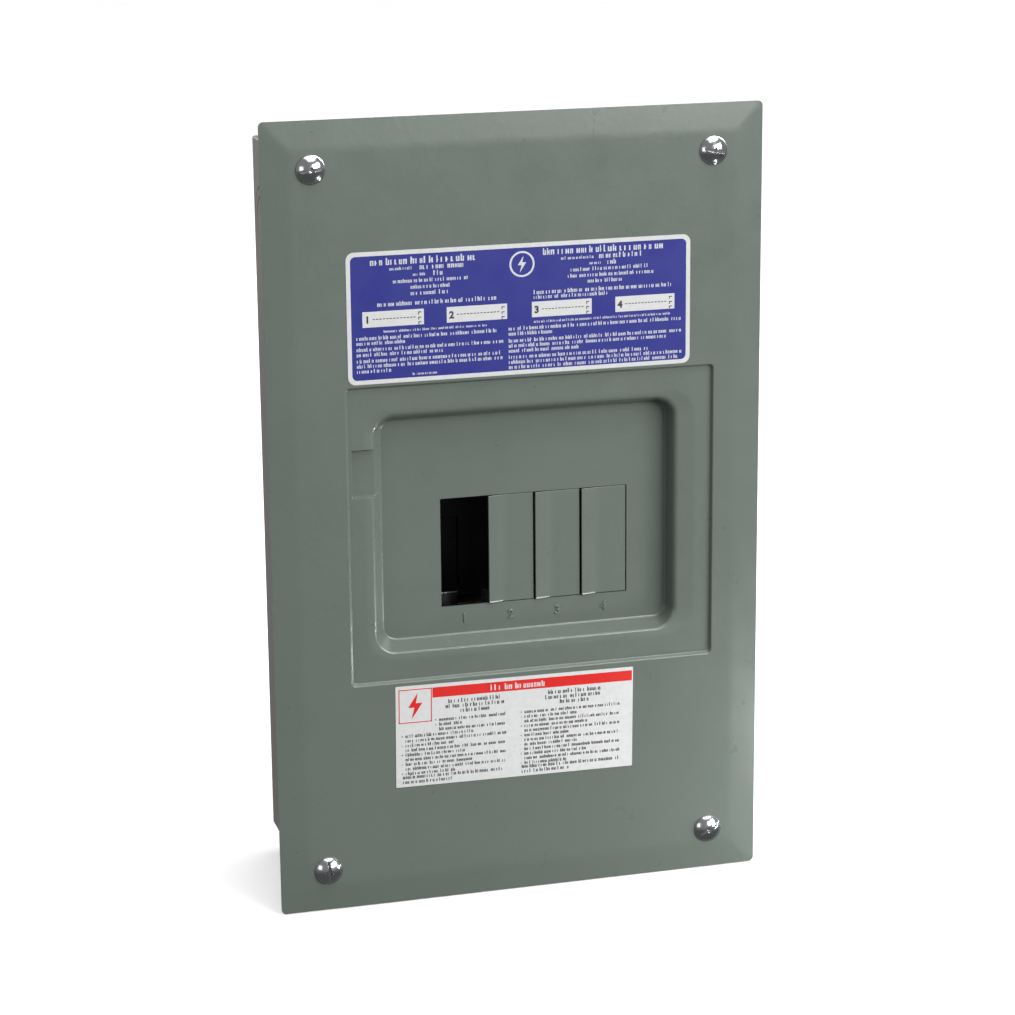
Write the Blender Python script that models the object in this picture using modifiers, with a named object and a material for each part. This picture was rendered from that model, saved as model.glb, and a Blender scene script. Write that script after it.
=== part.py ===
"""Residential load center with four breaker spaces, as separate pieces at real size.

Metres, +Z up, front faces -Y. The origin is the middle of the box's back face, where it meets the wall.
"""

import math

import bmesh
import bpy

# Back box
BOX_W, BOX_H, BOX_D = 0.230, 0.378, 0.0947
BOX_T = 0.0015
BOX_CORNER = 0.001
SIDE_LIP = 0.005  # returned front edge of each side wall
GAP = 0.0003  # clearance between pieces that touch
HANG_X, HANG_Z, HANG_R = 0.085, (-0.155, 0.105), 0.0032  # holes for the wall screws
WALL_Y = -(BOX_T + GAP)  # the plane where pieces rest inside the back wall

# Cover
COVER_W, COVER_H, COVER_T = 0.2602, 0.4115, 0.0012
COVER_Z = 0.002  # the cover's middle above the box's middle
COVER_R = 0.0025
RIM_W, RIM_DROP = 0.0145, 0.0012  # sloping rim of the cover
FACE_Y = -(BOX_D + GAP + COVER_T)

# Pressed shapes of the cover: x0, x1, z0, z1, corner radius, from the cover's middle
REBATE = (-0.0901, 0.1045, -0.0852, 0.0712, 0.0025)
DISH_LIP = (-0.0785, 0.0905, -0.0738, 0.0594, 0.0125)
DISH_STEP = (-0.0742, 0.0860, -0.0695, 0.0549, 0.0100)
DISH_FLOOR = (-0.0702, 0.0820, -0.0658, 0.0509, 0.0070)
REBATE_DEPTH, STEP_DEPTH, FLOOR_DEPTH = 0.0020, 0.0050, 0.0130
REBATE_RUN = 0.0009
NOTCH = (-0.0872, -0.0755, 0.0140, 0.0385)  # latch notch: x0, x1, z0, z1
NOTCH_DEPTH = 0.0045

# Breaker spaces
SPACES, SPACE_PITCH = 4, 0.02515
OPEN_X0, OPEN_Z0, OPEN_H = -0.0390, -0.0506, 0.0579
FLOOR_Y = FACE_Y + FLOOR_DEPTH
OPEN_MID_Z = COVER_Z + OPEN_Z0 + OPEN_H / 2
FOLD_X, FOLD_RISE = 0.0076, 0.0013  # raised left strip of a twistout
PLATE_GAP = 0.0008  # between neighbouring twistouts

# Labels: x middle, z middle from the cover's middle, width, height, corner radius, turn
DIRECTORY = (0.00135, 0.10625, 0.1799, 0.0669, 0.0040, 0.0)
WARNING = (-0.0035, -0.1153, 0.1286, 0.0549, 0.0004, math.radians(0.55))
LABEL_T = 0.0002

# Cover screws
SCREW_X, SCREW_Z = 0.1042, 0.1827
SCREW_MID = (-0.0008, 0.0010)  # x, z of the middle of the four screws
SCREW_HEAD_R, SCREW_HEAD_H, SCREW_SHANK_R, SCREW_LENGTH = 0.0074, 0.0036, 0.0021, 0.0120
SCREW_HOLE_R = 0.0026
TAB_T, TAB_IN, TAB_H, TAB_FOOT = 0.0015, 0.0095, 0.0135, 0.0140  # brackets the screws enter
TAB_SLOT = 0.0028  # half the width of a bracket's open slot

# Knockouts: trade sizes by radius, and distances from the wall
KNOCK_SMALL_R, KNOCK_SIDE_R, KNOCK_BACK_R, KNOCK_LARGE_R = 0.0111, 0.0174, 0.0142, 0.0255
KNOCK_END_X, KNOCK_END_Y, KNOCK_SIDE_Y = 0.062, -0.045, -0.020
KNOCK_SIDE_Z, KNOCK_BACK_X, KNOCK_BACK_Z = 0.1476, 0.060, 0.1450
KNOCK_GAP = 0.00035

# Interior
PAN_X0, PAN_X1, PAN_Z0, PAN_Z1 = -0.0450, 0.0680, -0.0750, 0.1050
PAN_Y, PAN_T, PAN_FOOT = -0.0240, 0.0015, 0.0100
PAN_SCREW_Z = 0.015
WALL_SCREW_R, WALL_HOLE_R = 0.0018, 0.0022  # screws that enter the back wall from inside
BASE_X0, BASE_X1, BASE_Z0, BASE_Z1 = -0.0440, 0.0670, -0.0575, 0.0900
BASE_Y0 = PAN_Y - GAP
BASE_Y1 = BASE_Y0 - 0.0120
BASE_RELIEF = 0.0080  # depth of the relief between the risers
BUS_T, BUS_H = 0.0030, 0.0080
BUS_Y0 = BASE_Y1 - GAP
BUS_Y1 = BUS_Y0 - BUS_T
BUS_A_Z, BUS_B_Z = 0.0220, 0.0060  # middles of the two horizontal bars
BUS_TOP, RISER_HALF, LINK_HALF = 0.0820, 0.0070, 0.0040
BUS_A_X, BUS_B_X = (-0.0370, 0.0300), (-0.0065, 0.0640)
BLADE_T, BLADE_H, BLADE_Y = 0.0020, 0.0070, -0.0540
LUG_W, LUG_H, LUG_D, LUG_Z0 = 0.0220, 0.0280, 0.0240, 0.0560
LUG_A_X, LUG_B_X = -0.0300, 0.0570
LUG_EDGE, LUG_WALL, LUG_WIRE_R = 0.0012, 0.0040, 0.0075
PLUG_R, PLUG_HOLE_R, PLUG_LENGTH, PLUG_SOCKET_R, PLUG_OUT = 0.0050, 0.0054, 0.0100, 0.0028, 0.0015
RAIL_Z, RAIL_T, RAIL_Y, RAIL_FOOT, RAIL_MARGIN = -0.0600, 0.0015, -0.0460, 0.0120, 0.0120
HOOK_HALF, HOOK_H = 0.0060, 0.0080
NEUTRAL_X, NEUTRAL_Z0, NEUTRAL_Z1 = -0.0770, -0.0350, 0.0750
NEUTRAL_Y, NEUTRAL_W = -0.0303, 0.0120
NEUTRAL_FIRST, NEUTRAL_PITCH = -0.0200, 0.0155
POST_HALF_W, POST_HALF_H, POST_Z = 0.0080, 0.0100, (-0.0220, 0.0820)
STRAP_HALF, STRAP_T, STRAP_TAIL, BOND_Z = 0.0050, 0.0015, 0.0070, -0.0520
GROUND_X, GROUND_Z0, GROUND_Z1, GROUND_W = 0.0850, -0.1350, -0.0450, 0.0100
GROUND_FIRST, GROUND_PITCH, GROUND_SCREW_IN = -0.1180, 0.0112, 0.0050
TERMINALS, TERMINAL_R, TERMINAL_SHANK_R = 6, 0.0034, 0.0018
TERMINAL_H, TERMINAL_LENGTH, TERMINAL_HOLE_R, TERMINAL_LIFT = 0.0024, 0.0035, 0.0022, 0.0006

ROUND = 24  # sides of a round piece


def space_x(number):
    """Middle of breaker space 1, 2, 3 or 4."""
    return OPEN_X0 + SPACE_PITCH * (number - 0.5)


# ---------------------------------------------------------------- scene and materials


def clear_scene():
    for obj in list(bpy.data.objects):
        bpy.data.objects.remove(obj, do_unlink=True)


def make_collection(name, hidden=False):
    made = bpy.data.collections.new(name)
    bpy.context.scene.collection.children.link(made)
    made.hide_render = hidden
    return made


clear_scene()
PARTS = make_collection("residential_load_center")
CUTTERS = make_collection("cutters", hidden=True)

FINISHES = {  # base colour, roughness, metallic
    "cover_paint": ((0.155, 0.190, 0.165), 0.42, 0.0),
    "box_paint": ((0.180, 0.185, 0.180), 0.50, 0.0),
    "zinc": ((0.62, 0.63, 0.64), 0.25, 1.0),
    "galvanised": ((0.45, 0.46, 0.47), 0.40, 1.0),
    "aluminium": ((0.70, 0.71, 0.72), 0.35, 1.0),
    "copper": ((0.62, 0.30, 0.16), 0.35, 1.0),
    "black_plastic": ((0.02, 0.02, 0.022), 0.45, 0.0),
    "green_screw": ((0.03, 0.22, 0.07), 0.35, 0.3),
    "label_blue": ((0.03, 0.03, 0.32), 0.35, 0.0),
    "label_white": ((0.80, 0.80, 0.79), 0.40, 0.0),
}


def finish(obj, name):
    """Gives a piece its own Principled material."""
    colour, roughness, metallic = FINISHES[name]
    material = bpy.data.materials.new(f"{obj.name}_{name}")
    material.use_nodes = True
    shader = material.node_tree.nodes["Principled BSDF"]
    shader.inputs["Base Color"].default_value = (*colour, 1.0)
    shader.inputs["Roughness"].default_value = roughness
    shader.inputs["Metallic"].default_value = metallic
    obj.data.materials.clear()
    obj.data.materials.append(material)


# ---------------------------------------------------------------- shapes


def add_object(name, mesh, collection=PARTS):
    obj = bpy.data.objects.new(name, mesh)
    collection.objects.link(obj)
    return obj


def hide(obj):
    obj.hide_render = True
    obj.display_type = "WIRE"


def block(name, low, high, collection=PARTS):
    """A box between two opposite corners, with its origin in its middle."""
    middle = [(a + b) / 2 for a, b in zip(low, high)]
    mesh = bpy.data.meshes.new(name)
    made = bmesh.new()
    bmesh.ops.create_cube(made, size=1.0)
    for vert in made.verts:
        for axis in range(3):
            vert.co[axis] *= abs(high[axis] - low[axis])
    made.to_mesh(mesh)
    made.free()
    obj = add_object(name, mesh, collection)
    obj.location = middle
    return obj


def rod(name, centre, axis, radius, length, collection=PARTS, sides=ROUND):
    """A cylinder along X, Y or Z."""
    mesh = bpy.data.meshes.new(name)
    made = bmesh.new()
    bmesh.ops.create_cone(
        made, cap_ends=True, segments=sides, radius1=radius, radius2=radius, depth=length
    )
    made.to_mesh(mesh)
    made.free()
    obj = add_object(name, mesh, collection)
    obj.location = centre
    obj.rotation_euler = {
        "X": (0.0, math.pi / 2, 0.0),
        "Y": (math.pi / 2, 0.0, 0.0),
        "Z": (0.0, 0.0, 0.0),
    }[axis]
    return obj


def combine(obj, other, operation):
    modifier = obj.modifiers.new(f"{operation.lower()}_{other.name}", "BOOLEAN")
    modifier.object = other
    modifier.operation = operation
    modifier.solver = "EXACT"


def cut(obj, cutter):
    hide(cutter)
    combine(obj, cutter, "DIFFERENCE")


def join(obj, other):
    hide(other)
    combine(obj, other, "UNION")


def cut_block(obj, low, high):
    cut(obj, block(f"cut_{obj.name}", low, high, CUTTERS))


def cut_rod(obj, centre, axis, radius, length, sides=ROUND):
    cut(obj, rod(f"hole_{obj.name}", centre, axis, radius, length, CUTTERS, sides))


def join_block(obj, low, high):
    join(obj, block(f"part_{obj.name}", low, high, CUTTERS))


def rounded_rectangle(x0, x1, z0, z1, radius, steps=5):
    """Corners of a rounded rectangle, anticlockwise as seen from -Y, each corner an arc."""
    points = []
    for centre_x, centre_z, start in (
        (x1 - radius, z1 - radius, 0),
        (x0 + radius, z1 - radius, 90),
        (x0 + radius, z0 + radius, 180),
        (x1 - radius, z0 + radius, 270),
    ):
        for step in range(steps + 1):
            angle = math.radians(start + 90 * step / steps)
            points.append(
                (centre_x + radius * math.cos(angle), centre_z + radius * math.sin(angle))
            )
    return points


def outline_plate(name, points, thickness):
    """A flat plate from a 2D outline, as a mesh: the outline in local XY, the thickness along local Z."""
    curve = bpy.data.curves.new(name, "CURVE")
    curve.dimensions = "2D"
    curve.fill_mode = "BOTH"
    curve.extrude = thickness / 2
    spline = curve.splines.new("POLY")
    spline.points.add(len(points) - 1)
    for point, (x, y) in zip(spline.points, points):
        point.co = (x, y, 0.0, 1.0)
    spline.use_cyclic_u = True
    guide = add_object(f"{name}_outline", curve)
    bpy.context.view_layer.update()
    evaluated = guide.evaluated_get(bpy.context.evaluated_depsgraph_get())
    mesh = bpy.data.meshes.new_from_object(evaluated)
    bpy.data.objects.remove(guide, do_unlink=True)
    welded = bmesh.new()
    welded.from_mesh(mesh)
    bmesh.ops.remove_doubles(welded, verts=welded.verts, dist=1e-6)
    bmesh.ops.recalc_face_normals(welded, faces=welded.faces)
    welded.to_mesh(mesh)
    welded.free()
    mesh.name = name
    return add_object(name, mesh)


def turned(name, profile, location, steps=ROUND):
    """A turned piece that faces the front: profile is (radius, height), from the front end back."""
    mesh = bpy.data.meshes.new(name)
    mesh.from_pydata(
        [(radius, 0.0, height) for radius, height in profile],
        [(i, i + 1) for i in range(len(profile) - 1)],
        [],
    )
    obj = add_object(name, mesh)
    screw = obj.modifiers.new("turn", "SCREW")
    screw.axis = "Z"
    screw.angle = 2 * math.pi
    screw.steps = screw.render_steps = steps
    screw.use_merge_vertices = True
    screw.merge_threshold = 1e-5
    obj.location = location
    obj.rotation_euler = (math.pi / 2, 0.0, 0.0)
    return obj


def screw(name, location, head_r, head_h, shank_r, length, material, steps=ROUND):
    """A domed screw whose head rests on the plane y = location[1], facing the front."""
    profile = [
        (0.0, head_h),
        (head_r * 0.55, head_h * 0.92),
        (head_r * 0.88, head_h * 0.58),
        (head_r, head_h * 0.15),
        (head_r, 0.0),
        (shank_r, 0.0),
        (shank_r, -length),
        (0.0, -length),
    ]
    obj = turned(name, profile, location, steps)
    x, y, z = location
    reach, half = head_r * 1.2, head_r * 0.11
    cut_block(
        obj,
        (x - reach, y - head_h * 1.5, z - half),
        (x + reach, y - head_h * 0.5, z + half),
    )
    finish(obj, material)
    return obj


# ---------------------------------------------------------------- box and knockouts


def knockouts():
    """(name, centre, axis, radius) of each knockout, centred in its wall's thickness."""
    end_z, side_x, back_y = BOX_H / 2 - BOX_T / 2, BOX_W / 2 - BOX_T / 2, -BOX_T / 2
    found = []
    for side, sign in (("top", 1), ("bottom", -1)):
        centre = (0.0, KNOCK_END_Y, sign * end_z)
        found.append((f"knockout_{side}_middle", centre, "Z", KNOCK_LARGE_R))
        for place, x in (("left", -KNOCK_END_X), ("right", KNOCK_END_X)):
            centre = (x, KNOCK_END_Y, sign * end_z)
            found.append((f"knockout_{side}_{place}", centre, "Z", KNOCK_SMALL_R))
    for place, sign in (("left", -1), ("right", 1)):
        centre = (sign * side_x, KNOCK_SIDE_Y, KNOCK_SIDE_Z)
        found.append((f"knockout_side_{place}", centre, "X", KNOCK_SIDE_R))
        centre = (sign * KNOCK_BACK_X, back_y, KNOCK_BACK_Z)
        found.append((f"knockout_back_{place}", centre, "Y", KNOCK_BACK_R))
    return found


def screw_places():
    """(name, x, z) of the four cover screws."""
    return [
        (f"cover_screw_{up}_{side}", SCREW_MID[0] + sx * SCREW_X, SCREW_MID[1] + sz * SCREW_Z)
        for up, sz in (("top", 1), ("bottom", -1))
        for side, sx in (("left", -1), ("right", 1))
    ]


def make_box():
    half_w, half_h = BOX_W / 2, BOX_H / 2
    body = block("box", (-half_w, -BOX_D, -half_h), (half_w, 0.0, half_h))
    bevel = body.modifiers.new("corners", "BEVEL")
    bevel.width, bevel.segments = BOX_CORNER, 2
    bevel.limit_method = "WEIGHT"
    weights = body.data.attributes.new("bevel_weight_edge", "FLOAT", "EDGE")
    for edge in body.data.edges:
        ends = [body.data.vertices[i].co for i in edge.vertices]
        weights.data[edge.index].value = 1.0 if abs(ends[0].y - ends[1].y) > BOX_D / 2 else 0.0
    inner_w, inner_h = half_w - BOX_T, half_h - BOX_T
    cut_block(body, (-inner_w, BOX_T - BOX_D, -inner_h), (inner_w, -BOX_T, inner_h))
    mouth_w = half_w - SIDE_LIP
    cut_block(body, (-mouth_w, -2 * BOX_D, -inner_h), (mouth_w, -BOX_D / 2, inner_h))
    for _, centre, axis, radius in knockouts():
        cut_rod(body, centre, axis, radius + KNOCK_GAP, 4 * BOX_T)
    for x in (-HANG_X, HANG_X):
        for z in HANG_Z:
            cut_rod(body, (x, 0.0, z), "Y", HANG_R, 6 * BOX_T, 12)
    for x, z in wall_screw_places():
        cut_rod(body, (x, 0.0, z), "Y", WALL_HOLE_R, 6 * BOX_T, 12)
    finish(body, "box_paint")


def make_cover_tabs():
    """Bent brackets on the side walls, behind the lips, with open slots for the cover screws."""
    wall = BOX_W / 2 - BOX_T - GAP
    front = -BOX_D + BOX_T + GAP
    for name, x, z in screw_places():
        out, up = math.copysign(1, x), math.copysign(1, z)
        top = up * (BOX_H / 2 - BOX_T - GAP)
        plate_x = sorted((out * wall, x - out * TAB_IN))
        foot_x = sorted((out * wall, out * (wall - TAB_T)))
        plate_z = sorted((top, top - up * TAB_H))
        tab = block(
            name.replace("screw", "tab"),
            (plate_x[0], front, plate_z[0]),
            (plate_x[1], front + TAB_T, plate_z[1]),
        )
        join_block(
            tab, (foot_x[0], front + TAB_T / 2, plate_z[0]), (foot_x[1], front + TAB_FOOT, plate_z[1])
        )
        slot_z = sorted((z - up * TAB_SLOT, top + up * TAB_H))
        cut_block(
            tab,
            (x - TAB_SLOT, front - TAB_T, slot_z[0]),
            (x + TAB_SLOT, front + 2 * TAB_T, slot_z[1]),
        )
        finish(tab, "galvanised")


def make_knockouts():
    for name, centre, axis, radius in knockouts():
        finish(rod(name, centre, axis, radius, BOX_T), "box_paint")


# ---------------------------------------------------------------- interior


def pan_screw_places():
    return [
        ("pan_screw_left", PAN_X0 - PAN_FOOT / 2, PAN_SCREW_Z),
        ("pan_screw_right", PAN_X1 + PAN_FOOT / 2, PAN_SCREW_Z),
    ]


def ground_screw_places():
    return [
        ("ground_bar_screw_upper", GROUND_X, GROUND_Z1 - GROUND_SCREW_IN),
        ("ground_bar_screw_lower", GROUND_X, GROUND_Z0 + GROUND_SCREW_IN),
    ]


def wall_screw_places():
    """(x, z) of the screws that enter the back wall from inside."""
    places = [(x, z) for _, x, z in pan_screw_places() + ground_screw_places()]
    return [*places, (NEUTRAL_X, BOND_Z)]


def make_pan():
    """A hat-shaped steel pan: a raised plate on two legs with feet against the back wall."""
    pan = block("interior_pan", (PAN_X0, PAN_Y, PAN_Z0), (PAN_X1, PAN_Y + PAN_T, PAN_Z1))
    for edge, out in ((PAN_X0, -1), (PAN_X1, 1)):
        inner = edge - out * PAN_T
        join_block(
            pan,
            (min(edge, inner), PAN_Y + PAN_T / 2, PAN_Z0),
            (max(edge, inner), WALL_Y, PAN_Z1),
        )
        foot = edge + out * PAN_FOOT
        join_block(
            pan,
            (min(inner, foot), WALL_Y - PAN_T, PAN_Z0),
            (max(inner, foot), WALL_Y, PAN_Z1),
        )
    for _, x, z in pan_screw_places():
        cut_rod(pan, (x, WALL_Y, z), "Y", WALL_HOLE_R, 6 * PAN_T, 12)
    finish(pan, "galvanised")
    for name, x, z in pan_screw_places():
        seat = WALL_Y - PAN_T - GAP
        screw(name, (x, seat, z), 0.0036, 0.0020, WALL_SCREW_R, -seat - GAP, "zinc", steps=12)


def make_base():
    """The moulded base under the bus bars, relieved between the two risers."""
    low, high = (BASE_X0, BASE_Y1, BASE_Z0), (BASE_X1, BASE_Y0, BASE_Z1)
    base = block("bus_insulator", low, high)
    cut_block(
        base,
        (LUG_A_X + LUG_W, BASE_Y1 - 0.01, BUS_A_Z + 2 * BUS_H),
        (LUG_B_X - LUG_W, BASE_Y1 + BASE_RELIEF, BASE_Z1 + 0.01),
    )
    finish(base, "black_plastic")


def make_bus_bars():
    """Each bar is flat stock with a riser to its lug and a plug-on blade for every other space."""
    stab_z = (BUS_A_Z + BUS_B_Z) / 2
    for name, bar_z, spaces, (x0, x1), riser_x in (
        ("bus_bar_a", BUS_A_Z, (1, 3), BUS_A_X, LUG_A_X),
        ("bus_bar_b", BUS_B_Z, (2, 4), BUS_B_X, LUG_B_X),
    ):
        bar = block(name, (x0, BUS_Y1, bar_z - BUS_H / 2), (x1, BUS_Y0, bar_z + BUS_H / 2))
        riser = (riser_x - RISER_HALF, riser_x + RISER_HALF)
        join_block(bar, (riser[0], BUS_Y1, bar_z), (riser[1], BUS_Y0, BUS_TOP))
        for number in spaces:
            x = space_x(number)
            low, high = sorted((bar_z, stab_z + math.copysign(BLADE_H / 2, stab_z - bar_z)))
            join_block(bar, (x - LINK_HALF, BUS_Y1, low), (x + LINK_HALF, BUS_Y0, high))
            join_block(
                bar,
                (x - BLADE_T / 2, BLADE_Y, stab_z - BLADE_H / 2),
                (x + BLADE_T / 2, BUS_Y0 - BUS_T / 2, stab_z + BLADE_H / 2),
            )
        finish(bar, "aluminium")


def make_lug(name, x, y0, z0):
    """A mechanical lug: wire enters from above, a set screw clamps it from the front."""
    lug = block(name, (x - LUG_W / 2, y0 - LUG_D, z0), (x + LUG_W / 2, y0, z0 + LUG_H))
    bevel = lug.modifiers.new("edges", "BEVEL")
    bevel.width, bevel.segments = LUG_EDGE, 1
    middle_y, middle_z = y0 - LUG_D / 2, z0 + LUG_H / 2
    cut_rod(lug, (x, middle_y, z0 + LUG_H), "Z", LUG_WIRE_R, 2 * (LUG_H - LUG_WALL))
    cut_rod(lug, (x, y0 - LUG_D, middle_z), "Y", PLUG_HOLE_R, LUG_D)
    finish(lug, "aluminium")
    profile = [
        (0.0, 0.0),
        (0.92 * PLUG_R, 0.0),
        (PLUG_R, -0.12 * PLUG_R),
        (PLUG_R, -PLUG_LENGTH),
        (0.0, -PLUG_LENGTH),
    ]
    face = (x, y0 - LUG_D - PLUG_OUT, middle_z)
    plug = turned(f"{name}_screw", profile, face, 16)
    cut_rod(plug, face, "Y", PLUG_SOCKET_R, 0.9 * PLUG_LENGTH, 6)
    finish(plug, "zinc")


def make_rail():
    """The bent steel rail whose hooks hold the outer ends of the breakers."""
    x0, x1 = space_x(1) - RAIL_MARGIN, space_x(SPACES) + RAIL_MARGIN
    top = RAIL_Z + RAIL_T
    rail = block("breaker_rail", (x0, BASE_Y0 - RAIL_T, RAIL_Z - RAIL_FOOT), (x1, BASE_Y0, top))
    join_block(rail, (x0, RAIL_Y, RAIL_Z), (x1, BASE_Y0, top))
    for number in range(1, SPACES + 1):
        x = space_x(number)
        low, high = (x - HOOK_HALF, RAIL_Y, RAIL_Z), (x + HOOK_HALF, RAIL_Y + RAIL_T, RAIL_Z + HOOK_H)
        join_block(rail, low, high)
    finish(rail, "galvanised")


def terminal_bar(name, x, y0, z0, z1, width, first, pitch):
    """A bar with wire holes through it from the side and a clamping screw for each."""
    bar = block(name, (x - width / 2, y0 - width, z0), (x + width / 2, y0, z1))
    for i in range(TERMINALS):
        z = first + i * pitch
        cut_rod(bar, (x, y0 - width * 0.42, z), "X", width * 0.24, width * 2, 12)
        cut_rod(bar, (x, y0 - width, z), "Y", TERMINAL_HOLE_R, width, 12)
        screw(
            f"{name}_terminal_screw_{i + 1}",
            (x, y0 - width - TERMINAL_LIFT, z),
            TERMINAL_R,
            TERMINAL_H,
            TERMINAL_SHANK_R,
            TERMINAL_LENGTH,
            "zinc",
            steps=12,
        )
    return bar


def make_neutral():
    bar = terminal_bar(
        "neutral_bar",
        NEUTRAL_X,
        NEUTRAL_Y,
        NEUTRAL_Z0,
        NEUTRAL_Z1,
        NEUTRAL_W,
        NEUTRAL_FIRST,
        NEUTRAL_PITCH,
    )
    finish(bar, "aluminium")
    make_lug("neutral_lug", NEUTRAL_X, NEUTRAL_Y, NEUTRAL_Z1 + GAP)
    for place, z in zip(("lower", "upper"), POST_Z):
        post = block(
            f"neutral_standoff_{place}",
            (NEUTRAL_X - POST_HALF_W, NEUTRAL_Y + GAP, z - POST_HALF_H),
            (NEUTRAL_X + POST_HALF_W, WALL_Y, z + POST_HALF_H),
        )
        finish(post, "black_plastic")


def make_bond():
    """A copper strap from the neutral bar's lower end to the back wall, and its green screw."""
    half, thick = STRAP_HALF, STRAP_T
    top = NEUTRAL_Z0 - GAP
    strap = block(
        "bonding_strap",
        (NEUTRAL_X - half, NEUTRAL_Y - NEUTRAL_W, top - thick),
        (NEUTRAL_X + half, WALL_Y, top),
    )
    join_block(
        strap,
        (NEUTRAL_X - half, WALL_Y - thick, BOND_Z - STRAP_TAIL),
        (NEUTRAL_X + half, WALL_Y, top - thick / 2),
    )
    cut_rod(strap, (NEUTRAL_X, WALL_Y, BOND_Z), "Y", WALL_HOLE_R, 6 * thick, 12)
    finish(strap, "copper")
    seat = WALL_Y - thick - GAP
    screw(
        "bonding_screw",
        (NEUTRAL_X, seat, BOND_Z),
        0.0042,
        0.0026,
        WALL_SCREW_R,
        -seat - GAP,
        "green_screw",
        steps=12,
    )


def make_ground():
    bar = terminal_bar(
        "ground_bar",
        GROUND_X,
        WALL_Y,
        GROUND_Z0,
        GROUND_Z1,
        GROUND_W,
        GROUND_FIRST,
        GROUND_PITCH,
    )
    for name, x, z in ground_screw_places():
        cut_rod(bar, (x, WALL_Y, z), "Y", WALL_HOLE_R, 4 * GROUND_W, 12)
        seat = WALL_Y - GROUND_W - GAP
        screw(name, (x, seat, z), 0.0034, 0.0022, WALL_SCREW_R, -seat - GAP, "zinc", steps=12)
    finish(bar, "aluminium")


# ---------------------------------------------------------------- cover


def raised(rectangle, up=COVER_Z):
    """The rectangle moved from the cover's middle into the object's frame."""
    x0, x1, z0, z1, radius = rectangle
    return rounded_rectangle(x0, x1, z0 + up, z1 + up, radius)


def grown(rectangle, by):
    x0, x1, z0, z1, radius = rectangle
    return (x0 - by, x1 + by, z0 - by, z1 + by, radius + by)


def cover_loops():
    """Outlines of the pressed sheet's front, from its outer edge in, each with its y."""
    edge = (-COVER_W / 2, COVER_W / 2, -COVER_H / 2, COVER_H / 2, COVER_R)
    return [
        (raised(edge), FACE_Y + RIM_DROP),
        (raised(grown(edge, -RIM_W)[:4] + (0.002,)), FACE_Y),
        (raised(REBATE), FACE_Y),
        (raised(grown(REBATE, -REBATE_RUN)), FACE_Y + REBATE_DEPTH),
        (raised(DISH_LIP), FACE_Y + REBATE_DEPTH),
        (raised(DISH_STEP), FACE_Y + STEP_DEPTH),
        (raised(DISH_FLOOR), FACE_Y + FLOOR_DEPTH),
    ]


def make_cover():
    mesh = bpy.data.meshes.new("cover")
    made = bmesh.new()
    rings = [
        [made.verts.new((x, y, z)) for x, z in points] for points, y in cover_loops()
    ]
    for outer, inner in zip(rings, rings[1:]):
        count = len(outer)
        for i in range(count):
            j = (i + 1) % count
            made.faces.new((outer[i], outer[j], inner[j], inner[i]))
    made.faces.new(rings[-1])
    bmesh.ops.recalc_face_normals(made, faces=made.faces)
    if sum(face.normal.y * face.calc_area() for face in made.faces) > 0:
        bmesh.ops.reverse_faces(made, faces=made.faces)
    made.to_mesh(mesh)
    made.free()
    cover = add_object("cover", mesh)
    shell = cover.modifiers.new("sheet", "SOLIDIFY")
    shell.thickness = COVER_T
    shell.offset = -1.0
    shell.use_even_offset = True
    make_notch(cover)
    open_x1 = OPEN_X0 + SPACES * SPACE_PITCH
    low_z = COVER_Z + OPEN_Z0
    cut_block(cover, (OPEN_X0, FLOOR_Y - 0.01, low_z), (open_x1, FLOOR_Y + 0.01, low_z + OPEN_H))
    for _, x, z in screw_places():
        cut_rod(cover, (x, FACE_Y, z), "Y", SCREW_HOLE_R, 0.01, 16)
    finish(cover, "cover_paint")


def make_notch(cover):
    """A small tray pressed into the rebate's left side, open towards the dish."""
    x0, x1, z0, z1 = NOTCH
    low, high = z0 + COVER_Z, z1 + COVER_Z
    floor = FACE_Y + NOTCH_DEPTH
    join_block(
        cover,
        (x0 - COVER_T, FACE_Y + REBATE_DEPTH + 0.0002, low - COVER_T),
        (x1, floor + COVER_T, high + COVER_T),
    )
    cut_block(cover, (x0, FACE_Y - 0.01, low), (x1 + 0.008, floor, high))


def make_twistouts():
    """Plates that close unused spaces, each folded along its left side, turning about its middle."""
    half = (SPACE_PITCH - PLATE_GAP) / 2
    fold = -half + FOLD_X
    thick = COVER_T / 2
    section = [
        (-half, -thick - FOLD_RISE),
        (fold, -thick),
        (half, -thick),
        (half, thick),
        (fold, thick),
        (-half, thick - FOLD_RISE),
    ]
    for number in range(2, SPACES + 1):
        plate = outline_plate(f"twistout_{number}", section, OPEN_H - 2 * KNOCK_GAP)
        plate.location = (space_x(number), FLOOR_Y + thick, OPEN_MID_Z)
        finish(plate, "cover_paint")


def make_cover_screws():
    for name, x, z in screw_places():
        screw(
            name,
            (x, FACE_Y - GAP, z),
            SCREW_HEAD_R,
            SCREW_HEAD_H,
            SCREW_SHANK_R,
            SCREW_LENGTH,
            "zinc",
        )


def make_labels():
    for name, (x, z, width, height, radius, turn), material in (
        ("directory_label", DIRECTORY, "label_blue"),
        ("warning_label", WARNING, "label_white"),
    ):
        outline = rounded_rectangle(-width / 2, width / 2, -height / 2, height / 2, radius)
        label = outline_plate(name, outline, LABEL_T)
        label.location = (x, FACE_Y - GAP - LABEL_T / 2, z + COVER_Z)
        label.rotation_euler = (math.pi / 2, turn, 0.0)
        finish(label, material)


make_box()
make_cover_tabs()
make_knockouts()
make_pan()
make_base()
make_bus_bars()
make_lug("main_lug_a", LUG_A_X, BUS_Y1 - GAP, LUG_Z0)
make_lug("main_lug_b", LUG_B_X, BUS_Y1 - GAP, LUG_Z0)
make_rail()
make_neutral()
make_bond()
make_ground()
make_cover()
make_twistouts()
make_cover_screws()
make_labels()
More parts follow.
